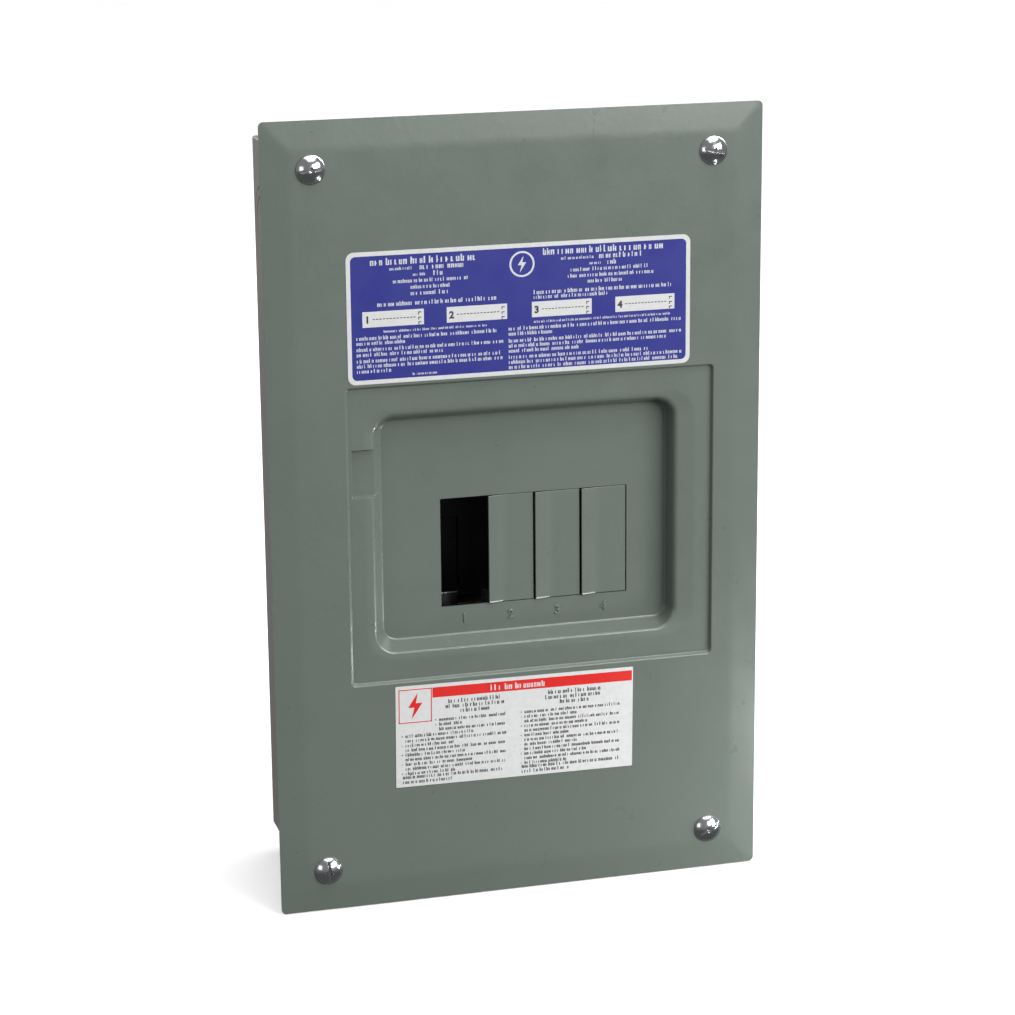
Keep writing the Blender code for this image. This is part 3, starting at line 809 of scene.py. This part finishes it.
def label_text(name, rows, spot, material, slot, turn=None, seed=1):
    """One mesh of word-like print. Each row: x0, x1, z, height, all from the cover's middle."""
    rng = random.Random(seed)
    shapes = []
    for x0, x1, z, height in rows:
        shapes += words(rng, x0 * MM, x1 * MM, z * MM + COVER_Z, height * MM)
    made = slab(name, shapes, spot, INK)
    if turn:
        turn_about(made, turn[0], turn[1])
    piece(made, "cover_body", slot, material)


DIRECTORY_LEFT = [
    (-76.3, -19.9, 134.4, 3.5),
    (-66.5, -54.0, 130.6, 1.6),
    (-51.0, -27.5, 130.9, 2.7),
    (-54.5, -48.0, 127.2, 1.5),
    (-44.0, -38.5, 127.5, 2.5),
    (-64.8, -25.5, 124.2, 2.0),
    (-55.8, -35.0, 121.0, 2.0),
    (-55.8, -35.0, 117.8, 2.2),
    (-73.0, -11.0, 113.0, 2.3),
    (-70.0, -16.5, 99.3, 1.3),
    (-84.0, -10.5, 96.3, 2.0),
    (-84.0, -59.0, 93.8, 2.0),
    (-84.0, -8.0, 90.6, 2.0),
    (-84.0, -37.5, 88.0, 2.0),
    (-84.0, -8.5, 84.8, 2.0),
    (-84.0, -8.2, 82.2, 2.0),
    (-84.0, -66.0, 79.6, 2.0),
    (-55.5, -42.0, 76.8, 1.3),
]
DIRECTORY_RIGHT = [
    (13.0, 78.5, 134.9, 3.4),
    (22.5, 40.5, 131.0, 1.6),
    (42.5, 66.5, 131.3, 2.7),
    (37.5, 44.5, 127.8, 1.5),
    (47.0, 52.0, 128.0, 2.5),
    (27.5, 69.5, 124.9, 2.0),
    (26.0, 72.5, 121.8, 2.0),
    (36.5, 56.0, 118.7, 2.0),
    (8.0, 81.5, 114.5, 2.2),
    (8.0, 47.5, 112.0, 2.0),
    (8.0, 81.5, 99.4, 1.3),
    (-5.3, 87.0, 96.6, 2.0),
    (-5.3, 20.0, 94.0, 2.0),
    (-5.3, 87.0, 90.4, 2.0),
    (-5.3, 79.5, 87.8, 2.0),
    (-5.3, 33.0, 85.2, 2.0),
    (-5.3, 71.0, 82.0, 2.0),
    (-5.3, 87.0, 79.4, 2.0),
    (-5.3, 85.5, 76.8, 2.0),
]
FIELDS = ((-80.7, -49.2), (-37.4, -6.0), (7.0, 38.6), (51.2, 82.9))
FIELD_Z0, FIELD_Z1 = 101.7, 109.6


def label_piece(name, outlines, lift, thickness, material, slot="label_blue", turn=None, nodes=()):
    made = slab(name, outlines, LABEL_BACK - lift, thickness)
    if turn:
        turn_about(made, turn[0], turn[1])
    return piece(made, "cover_body", slot, material, *nodes)


def make_directory_label():
    low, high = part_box("directory_label")
    border = 2.2 * MM
    label_piece(
        "directory_film",
        [rounded_outline(low.x, high.x, low.z, high.z, 4.0 * MM)],
        FILM,
        FILM,
        WHITE_FILM,
        nodes=("directory_label",),
    )
    inner = rounded_outline(
        low.x + border, high.x - border, low.z + border, high.z - border, 2.6 * MM
    )
    label_piece("directory_blue", [inner], FILM + INK, INK, BLUE_INK)
    fields = [area(x0, x1, FIELD_Z0, FIELD_Z1) for x0, x1 in FIELDS]
    label_piece("directory_fields", fields, FILM + 2 * INK, INK, WHITE_FILM)
    front = LABEL_BACK - FILM - 2 * INK
    label_text("directory_print_left", DIRECTORY_LEFT, front, WHITE_INK, "label_blue", seed=3)
    label_text("directory_print_right", DIRECTORY_RIGHT, front, WHITE_INK, "label_blue", seed=4)
    make_field_marks()
    make_directory_mark()


def make_field_marks():
    """The circuit numbers, the dotted writing lines and two tiny marks at each field's end."""
    middle = (FIELD_Z0 + FIELD_Z1) / 2 * MM + COVER_Z
    dots = []
    for x0, x1 in FIELDS:
        x = (x0 + 5.2) * MM
        while x < (x1 - 4.6) * MM:
            dots.append(bar(x, x + 1.15 * MM, middle, 0.42 * MM))
            x += 1.75 * MM
        x_end = (x1 - 2.9) * MM
        for lift in (2.4, -0.2, -2.6):
            dots.append(bar(x_end, x_end + 1.6 * MM, middle + lift * MM, 0.45 * MM))
            dots.append(bar(x_end, x_end + 0.45 * MM, middle + (lift - 0.6) * MM, 1.2 * MM))
    label_piece("directory_field_dots", dots, FILM + 3 * INK, INK, BLACK_INK)
    flat = {"extrude": INK / 2, "offset": 0.22 * MM}
    for number, (x0, _) in enumerate(FIELDS, 1):
        place = ((x0 + 2.5) * MM, LABEL_BACK - FILM - 2.5 * INK, middle - 0.3 * MM)
        name = f"circuit_number_{number}"
        numeral(name, number, 4.9 * MM, place, BLACK_INK, "label_blue", **flat)


def ring_shapes(cx, cz, outer, inner, sides=48):
    """A flat ring as a run of four-sided shapes."""
    found = []
    for k in range(sides):
        a, b = (2 * math.pi * n / sides for n in (k, k + 1))
        found.append(
            [
                (cx + outer * math.cos(a), cz + outer * math.sin(a)),
                (cx + outer * math.cos(b), cz + outer * math.sin(b)),
                (cx + inner * math.cos(b), cz + inner * math.sin(b)),
                (cx + inner * math.cos(a), cz + inner * math.sin(a)),
            ]
        )
    return found


def bolt_shape(cx, cz, size):
    """A plain lightning bolt, the usual sign for electricity."""
    outline = ((0.10, 0.5), (-0.26, -0.06), (-0.03, -0.06), (-0.14, -0.5), (0.26, 0.10), (0.02, 0.10))
    return [(cx + x * size, cz + z * size) for x, z in outline]


def make_directory_mark():
    """A plain round electricity sign between the two columns."""
    cx, cz = 2.0 * MM, 129.2 * MM + COVER_Z
    shapes = ring_shapes(cx, cz, 6.6 * MM, 5.6 * MM) + [bolt_shape(cx, cz, 8.6 * MM)]
    label_piece("directory_mark", shapes, FILM + 2 * INK, INK, WHITE_INK)


def make_warning_label():
    """A plain white notice: red header band, a boxed sign and two columns of small print."""
    low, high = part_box("warning_label")
    middle = ((low.x + high.x) / 2, 0.0, (low.z + high.z) / 2)
    cx, cz = middle[0] / MM, (middle[2] - COVER_Z) / MM
    width, height = 128.6, 54.9
    left, right, top, bottom = cx - width / 2, cx + width / 2, cz + height / 2, cz - height / 2
    turn = (middle, -0.55)
    label_piece(
        "notice_film",
        [rounded_outline(left * MM, right * MM, bottom * MM + COVER_Z, top * MM + COVER_Z, 0.4 * MM)],
        FILM,
        FILM,
        WHITE_FILM,
        "label_white",
        turn,
        ("warning_label",),
    )
    sign_left, sign_right = left + 1.6, left + 19.3
    sign_top, sign_bottom = top - 1.9, top - 20.2
    line = 0.5
    red = [
        area(sign_right + 0.35, right - 0.6, top - 7.4, top - 1.9),
        area(sign_left, sign_right, sign_top - line, sign_top),
        area(sign_left, sign_right, sign_bottom, sign_bottom + line),
        area(sign_left, sign_left + line, sign_bottom, sign_top),
        area(sign_right - line, sign_right, sign_bottom, sign_top),
        bolt_shape(
            (sign_left + sign_right) / 2 * MM, (sign_top + sign_bottom) / 2 * MM + COVER_Z, 14.5 * MM
        ),
    ]
    label_piece("notice_red", red, FILM + INK, INK, RED_INK, "label_white", turn)
    header = [(cx - 13.5, cx + 17.5, top - 4.7, 3.2)]
    front = LABEL_BACK - FILM - 2 * INK
    label_text("notice_header_print", header, front, WHITE_FILM, "label_white", turn, 21)
    heads, small = [], []
    for column, x0 in enumerate((left + 3.6, cx + 3.4)):
        x1 = x0 + (58.5 if column == 0 else 56.0)
        indent = 19.5 if column == 0 else 1.5
        middle_x = (x0 + indent + x1) / 2
        for k, half in enumerate((14.5, 16.0, 8.0)):
            heads.append((middle_x - half, middle_x + half, top - 9.9 - 2.75 * k, 2.3))
        count = 3 if column == 0 else 12
        for k in range(12):
            inset = indent if k < count and column == 0 else 1.5
            end = x1 - (2.0 if k % 2 == 0 else 20.0 + 5.0 * (k % 3))
            small.append((x0 + inset, end, top - 19.5 - 2.55 * k, 1.85))
            if k % 2 == 1 or k == 0:
                small.append((x0 + inset - 2.0, x0 + inset - 1.3, top - 19.5 - 2.55 * k, 0.9))
        for k, reach in enumerate((55.0, 27.0)):
            heads.append((x0, x0 + reach, top - 49.6 - 2.6 * k, 2.0))
    label_text("notice_headings", heads, front, BLACK_INK, "label_white", turn, 22)
    label_text("notice_small_print", small, front, BLACK_INK, "label_white", turn, 23)


# ---------------------------------------------------------------- box


KNOCKOUTS = [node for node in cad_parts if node.startswith("knockout_")]


def knockout_facts(node):
    """Centre, thin axis, radius and outward sign of a knockout disc."""
    low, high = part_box(node)
    sizes = [high[i] - low[i] for i in range(3)]
    thin = sizes.index(min(sizes))
    centre = (low + high) / 2
    sign = 1.0 if (centre[thin] > 0 or thin == 1) else -1.0
    return centre, thin, max(sizes) / 2, sign


def make_box():
    t, low, high = BOX_T, box_low, box_high
    shell = block("box_shell", low, high)
    upright = shell.modifiers.new("corners", "BEVEL")
    upright.width, upright.segments, upright.limit_method = 1 * MM, 3, "WEIGHT"
    weights = shell.data.attributes.new("bevel_weight_edge", "FLOAT", "EDGE")
    for edge in shell.data.edges:
        a, b = (shell.data.vertices[i].co for i in edge.vertices)
        weights.data[edge.index].value = 1.0 if abs(a.y - b.y) > 50 * MM else 0.0
    evaluated(shell)
    inner = block(
        "cut", (low.x + t, low.y + t, low.z + t), (high.x - t, high.y - t, high.z - t)
    )
    mouth = block(
        "cut",
        (low.x + SIDE_LIP, low.y - 10 * MM, low.z + t),
        (high.x - SIDE_LIP, (low.y + high.y) / 2, high.z - t),
    )
    cutters = [inner, mouth]
    for node in KNOCKOUTS:
        centre, thin, radius, _ = knockout_facts(node)
        cutters.append(rod("cut", centre, "XYZ"[thin], radius + 0.35 * MM, 5 * t, 72))
    for x in (-HANG_X, HANG_X):
        for z in HANG_Z:
            cutters.append(rod("cut", (x, 0.0, z), "Y", HANG_R, 6 * t, 32))
            cutters.append(rod("cut", (x, 0.0, z + KEY_RISE), "Y", KEY_R, 6 * t, 24))
            cutters.append(block("cut", (x - KEY_R, -3 * t, z), (x + KEY_R, 3 * t, z + KEY_RISE)))
    cut(shell, *cutters)
    rounded(shell, 0.3 * MM, 2, 50)
    piece(shell, "box_body", "box_paint", BOX_PAINT, "box")


def make_knockouts():
    """Discs with a pressed ring, a driver slot and two tabs that hold them in the wall."""
    for node in KNOCKOUTS:
        centre, thin, radius, sign = knockout_facts(node)
        t, letter = BOX_T, "XYZ"[thin]
        disc = rod(f"{node}_disc", centre, letter, radius - 0.05 * MM, t, 72)
        outward = Vector((0, 0, 0))
        outward[thin] = sign
        face = centre + outward * t / 2
        cuts = []
        if radius > 15 * MM:
            ring = rod("cut", face, letter, radius * 0.74, 0.7 * MM, 72)
            cut(ring, rod("cut", face, letter, radius * 0.74 - 0.7 * MM, 2 * MM, 72))
            cuts.append(ring)
        flat = [k for k in range(3) if k != thin]
        slot_low, slot_high = Vector(face), Vector(face)
        for axis, reach in ((thin, 0.5 * MM), (flat[0], 2.8 * MM), (flat[1], 0.6 * MM)):
            slot_low[axis] -= reach
            slot_high[axis] += reach
        cuts.append(block("cut", slot_low, slot_high))
        cut(disc, *cuts)
        tabs = []
        for side in (-1, 1):
            tab_low, tab_high = Vector(centre), Vector(centre)
            tab_low[thin] -= t * 0.32
            tab_high[thin] += t * 0.32
            tab_low[flat[1]] -= 0.8 * MM
            tab_high[flat[1]] += 0.8 * MM
            edge = sorted((side * (radius - 1 * MM), side * (radius + 0.45 * MM)))
            tab_low[flat[0]] += edge[0]
            tab_high[flat[0]] += edge[1]
            tabs.append(block("tab", tab_low, tab_high))
        join(disc, *tabs)
        rounded(disc, 0.15 * MM, 1, 50)
        piece(disc, "box_body", "box_paint", BOX_PAINT, node)


# ---------------------------------------------------------------- interior


def refine(node, name, width, material, slot, segments=2, extra=None):
    """A copy of a CAD node with its edges rounded, and further shapes joined or cut by extra."""
    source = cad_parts[node]
    obj = add_object(name, source.data.copy())
    obj.data.materials.clear()
    if extra:
        made = bmesh.new()
        made.from_mesh(obj.data)
        bmesh.ops.remove_doubles(made, verts=made.verts, dist=1e-6)
        made.to_mesh(obj.data)
        made.free()
        extra(obj)
    rounded(obj, width, segments, 35)
    piece(obj, "box_body", slot, material, node)
    return obj


def pierce_pan(obj):
    """Four round holes near the pan's corners."""
    low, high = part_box("interior_pan")
    holes = []
    for x in (low.x + 18 * MM, high.x - 18 * MM):
        for z in (low.z + 9 * MM, high.z - 9 * MM):
            holes.append(rod("cut", (x, low.y, z), "Y", 3 * MM, 6 * MM, 32))
    cut(obj, *holes)


def relieve_base(obj):
    """Sunk pockets between the breaker positions of the moulded base."""
    low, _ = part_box("bus_insulator")
    pockets = []
    for number in range(1, SPACES + 1):
        x = space_x(number)
        pockets.append(
            block(
                "cut",
                (x - 9 * MM, low.y - 5 * MM, low.z + 6 * MM),
                (x + 9 * MM, low.y + 3 * MM, low.z + 44 * MM),
            )
        )
    cut(obj, *pockets)


def make_interior():
    refine("interior_pan", "pan_sheet", 0.5 * MM, GALVANISED, "galvanised", 3, pierce_pan)
    refine("bus_insulator", "bus_base", 0.6 * MM, BLACK, "black_plastic", 2, relieve_base)
    refine("bus_bar_a", "bus_bar_left_phase", 0.35 * MM, TINNED, "aluminium")
    refine("bus_bar_b", "bus_bar_right_phase", 0.35 * MM, TINNED, "aluminium")
    refine("breaker_rail", "breaker_hook_rail", 0.35 * MM, GALVANISED, "galvanised")
    refine("neutral_bar", "neutral_terminal_bar", 0.4 * MM, TINNED, "aluminium")
    refine("ground_bar", "ground_terminal_bar", 0.4 * MM, TINNED, "aluminium")
    refine("bonding_strap", "bond_strap", 0.3 * MM, COPPER, "copper")
    for node in ("main_lug_a", "main_lug_b", "neutral_lug"):
        refine(node, f"{node}_body", 0.5 * MM, TINNED, "aluminium")
    for node in ("neutral_standoff_lower", "neutral_standoff_upper"):
        refine(node, f"{node}_post", 0.8 * MM, BLACK, "black_plastic")
    for node in ("main_lug_a_screw", "main_lug_b_screw", "neutral_lug_screw"):
        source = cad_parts[node]
        plug = add_object(f"{node}_socket", source.data.copy())
        rounded(plug, 0.2 * MM, 2, 40)
        piece(plug, node, "zinc", ZINC, node)
    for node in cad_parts:
        if "terminal_screw" in node:
            make_small_screw(node, node)
        elif node.startswith(("pan_screw", "ground_bar_screw")):
            make_small_screw(node, "box_body", square=True)
        elif node.startswith("cover_tab"):
            refine(node, f"{node}_bracket", 0.3 * MM, GALVANISED, "galvanised")
    make_small_screw("bonding_screw", "bonding_screw", GREEN, "green_screw", True)


# ---------------------------------------------------------------- camera, light and floor

CAMERA_AZIMUTH, CAMERA_ELEVATION, CAMERA_ROLL = -15.69, 14.73, -0.53
CAMERA_DISTANCE, CAMERA_LENS = 1.503, 104.0
AIM = Vector((-6.35 * MM, FACE_Y + RIM_DROP, COVER_Z + 3.15 * MM))


def make_camera():
    a, e = math.radians(CAMERA_AZIMUTH), math.radians(CAMERA_ELEVATION)
    back = Vector((math.sin(a) * math.cos(e), -math.cos(a) * math.cos(e), math.sin(e)))
    right = (-back).cross(Vector((0, 0, 1))).normalized()
    up = back.cross(right)
    roll = math.radians(CAMERA_ROLL)
    side = right * math.cos(roll) + up * math.sin(roll)
    above = up * math.cos(roll) - right * math.sin(roll)
    data = bpy.data.cameras.new("camera")
    data.sensor_width, data.lens = 36.0, CAMERA_LENS
    data.clip_start, data.clip_end = 0.05, 200.0
    camera = add_object("camera", data)
    turn = Matrix((side, above, back)).transposed().to_4x4()
    camera.matrix_world = Matrix.Translation(AIM + back * CAMERA_DISTANCE) @ turn
    bpy.context.scene.camera = camera


def area_light(name, place, aim, size, power):
    data = bpy.data.lights.new(name, "AREA")
    data.shape, data.size, data.size_y = "RECTANGLE", *size
    data.energy = power
    light = add_object(name, data)
    light.location = place
    light.rotation_euler = (Vector(aim) - Vector(place)).to_track_quat("-Z", "Y").to_euler()


def make_studio():
    bpy.context.scene.view_settings.view_transform = "Standard"
    world = bpy.data.worlds.new("studio")
    bpy.context.scene.world = world
    world.use_nodes = True
    tree = world.node_tree
    height = tree.nodes.new("ShaderNodeSeparateXYZ")
    tree.links.new(tree.nodes.new("ShaderNodeTexCoord").outputs["Generated"], height.inputs[0])
    fade = tree.nodes.new("ShaderNodeMapRange")
    for key, number in (("From Min", -0.4), ("From Max", 0.0), ("To Min", 0.10), ("To Max", 0.27)):
        fade.inputs[key].default_value = number
    tree.links.new(height.outputs["Z"], fade.inputs["Value"])
    tree.nodes["Background"].inputs["Color"].default_value = (1.0, 1.0, 1.0, 1.0)
    tree.links.new(fade.outputs["Result"], tree.nodes["Background"].inputs["Strength"])
    sun = bpy.data.lights.new("sky_panel", "SUN")
    sun.energy, sun.angle = 2.5, math.radians(60)
    lamp = add_object("sky_panel", sun)
    lamp.rotation_euler = Vector((-0.15, 0.05, -1.0)).to_track_quat("-Z", "Y").to_euler()
    area_light("key_box", (1.75, -1.55, 0.95), (0, -0.1, 0), (1.0, 1.0), 32)
    area_light("front_box", (1.0, -2.1, 0.8), (0, -0.1, 0), (0.9, 0.9), 30)
    area_light("left_box", (-1.8, -1.4, 0.3), (0, -0.1, 0), (0.9, 0.9), 5)
    area_light("top_box", (0.2, -0.9, 1.5), (0, -0.1, 0), (1.0, 0.4), 4)
    area_light("back_box", (-1.4, 1.8, 1.0), (0, -0.05, 0), (1.2, 1.2), 45)
    area_light("rim_card", (0.27, -0.195, -0.188), (0.12, -0.1, -0.18), (0.10, 0.03), 0.42)


def make_floor():
    made = bmesh.new()
    bmesh.ops.create_grid(made, x_segments=8, y_segments=8, size=40.0)
    floor = from_bmesh("floor", made)
    floor.location.z = cad_low.z - 0.5 * MM
    paper = Nodes("floor_paper", Roughness=0.9)
    paper.colour(paper.mix(paper.noise(3.0), (0.95, 0.95, 0.95), (0.97, 0.97, 0.97)))
    floor.data.materials.append(paper.material)
    floor.visible_diffuse = floor.visible_glossy = False


# ---------------------------------------------------------------- build

make_camera()
make_cover()
make_space_numbers()
for space in range(2, SPACES + 1):
    make_twistout(space)
make_cover_screws()
make_directory_label()
make_warning_label()
make_box()
make_knockouts()
make_interior()
make_floor()
make_studio()
